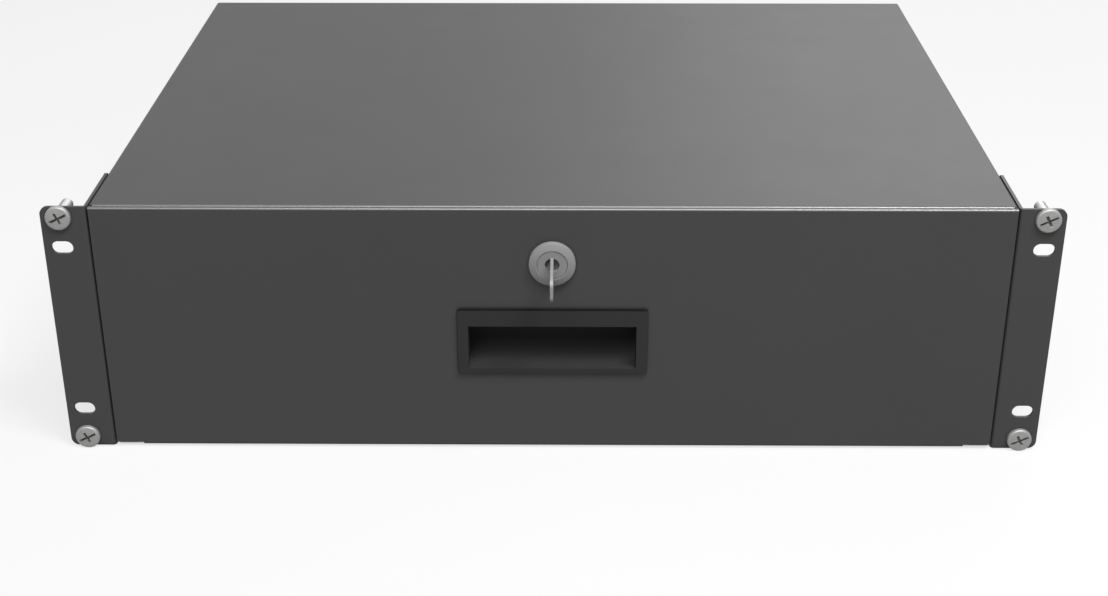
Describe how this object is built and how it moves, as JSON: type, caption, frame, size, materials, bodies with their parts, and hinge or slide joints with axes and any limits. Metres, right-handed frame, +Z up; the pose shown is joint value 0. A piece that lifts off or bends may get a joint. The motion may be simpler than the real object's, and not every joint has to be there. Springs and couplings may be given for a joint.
{
  "type": "sliding rack drawer",
  "caption": "Sliding rack drawer: dark grey sheet steel housing with slotted rack ears, flush black pull, cam lock with its key, and a drawer on ball-bearing telescopic slides",
  "frame": {"origin": "the middle of the rack hole pattern, on the rear faces of the two rack ears", "axes": "+X along the width to the viewer's right, +Y back into the rack from the ears, +Z up"},
  "size_m": [0.4826, 0.3469, 0.1328],
  "materials": {
    "powder_coat": "smooth satin dark grey powder coat",
    "zinc_steel": "bright zinc plating on rolled steel",
    "ball_steel": "polished hardened steel",
    "black_plastic": "moulded black plastic",
    "bumper_rubber": "matt black rubber",
    "lock_metal": "satin nickel plating",
    "key_steel": "nickel-plated steel"
  },
  "bodies": {
    "housing": {"housing_cover": "powder_coat", "rear_panel": "powder_coat", "rear_rivets": "zinc_steel", "ear_bracket_left": "powder_coat", "ear_bracket_right": "powder_coat", "rack_screws": "zinc_steel", "bracket_screws": "zinc_steel", "bracket_nuts": "zinc_steel", "cabinet_rail_left": "zinc_steel", "cabinet_rail_right": "zinc_steel", "rail_screws": "zinc_steel", "rail_nuts": "zinc_steel", "slide_bumper_left": "bumper_rubber", "slide_bumper_right": "bumper_rubber"},
    "drawer": {"drawer_pan": "powder_coat", "drawer_side_left": "powder_coat", "drawer_side_right": "powder_coat", "drawer_rail_left": "zinc_steel", "drawer_rail_right": "zinc_steel", "drawer_screws": "zinc_steel", "lever_pins": "zinc_steel", "flush_pull": "black_plastic", "lock_body": "lock_metal", "lock_nut": "zinc_steel"},
    "middle_rails": {"middle_rail_left": "zinc_steel", "middle_rail_right": "zinc_steel"},
    "outer_cages": {"outer_ball_cage_left": "zinc_steel", "outer_ball_cage_right": "zinc_steel", "outer_balls": "ball_steel"},
    "inner_cages": {"inner_ball_cage_left": "zinc_steel", "inner_ball_cage_right": "zinc_steel", "inner_balls": "ball_steel"},
    "lock_core": {"lock_plug": "lock_metal", "lock_cam": "zinc_steel", "cam_screw": "zinc_steel"},
    "key": {"key": "key_steel"},
    "lever_left": {"release_lever_left": "black_plastic"},
    "lever_right": {"release_lever_right": "black_plastic"}
  },
  "joints": [
    {"name": "drawer_slide", "type": "slide", "parent": "housing", "child": "drawer", "axis": [0, -1, 0], "range_m": [0, 0.3]},
    {"name": "middle_slide", "type": "slide", "parent": "housing", "child": "middle_rails", "axis": [0, -1, 0], "range_m": [0, 0.15]},
    {"name": "outer_cage_slide", "type": "slide", "parent": "housing", "child": "outer_cages", "axis": [0, -1, 0], "range_m": [0, 0.075]},
    {"name": "inner_cage_slide", "type": "slide", "parent": "housing", "child": "inner_cages", "axis": [0, -1, 0], "range_m": [0, 0.225]},
    {"name": "lock_turn", "type": "hinge", "parent": "drawer", "child": "lock_core", "pos_m": [0, -0.0019, 0.0375], "axis": [0, -1, 0], "range_deg": [0, 90]},
    {"name": "key_withdraw", "type": "slide", "parent": "lock_core", "child": "key", "axis": [0, -1, 0], "range_m": [0, 0.02]},
    {"name": "lever_left_turn", "type": "hinge", "parent": "drawer", "child": "lever_left", "pos_m": [-0.20735, 0.0673, 0], "axis": [1, 0, 0], "range_deg": [-5, 5], "stiffness_Nm_per_rad": 0.05},
    {"name": "lever_right_turn", "type": "hinge", "parent": "drawer", "child": "lever_right", "pos_m": [0.20735, 0.0673, 0], "axis": [1, 0, 0], "range_deg": [-5, 5], "stiffness_Nm_per_rad": 0.05}
  ],
  "couplings": [
    {"joint": "middle_slide", "follows": "drawer_slide", "ratio": 0.5},
    {"joint": "outer_cage_slide", "follows": "drawer_slide", "ratio": 0.25},
    {"joint": "inner_cage_slide", "follows": "drawer_slide", "ratio": 0.75}
  ]
}
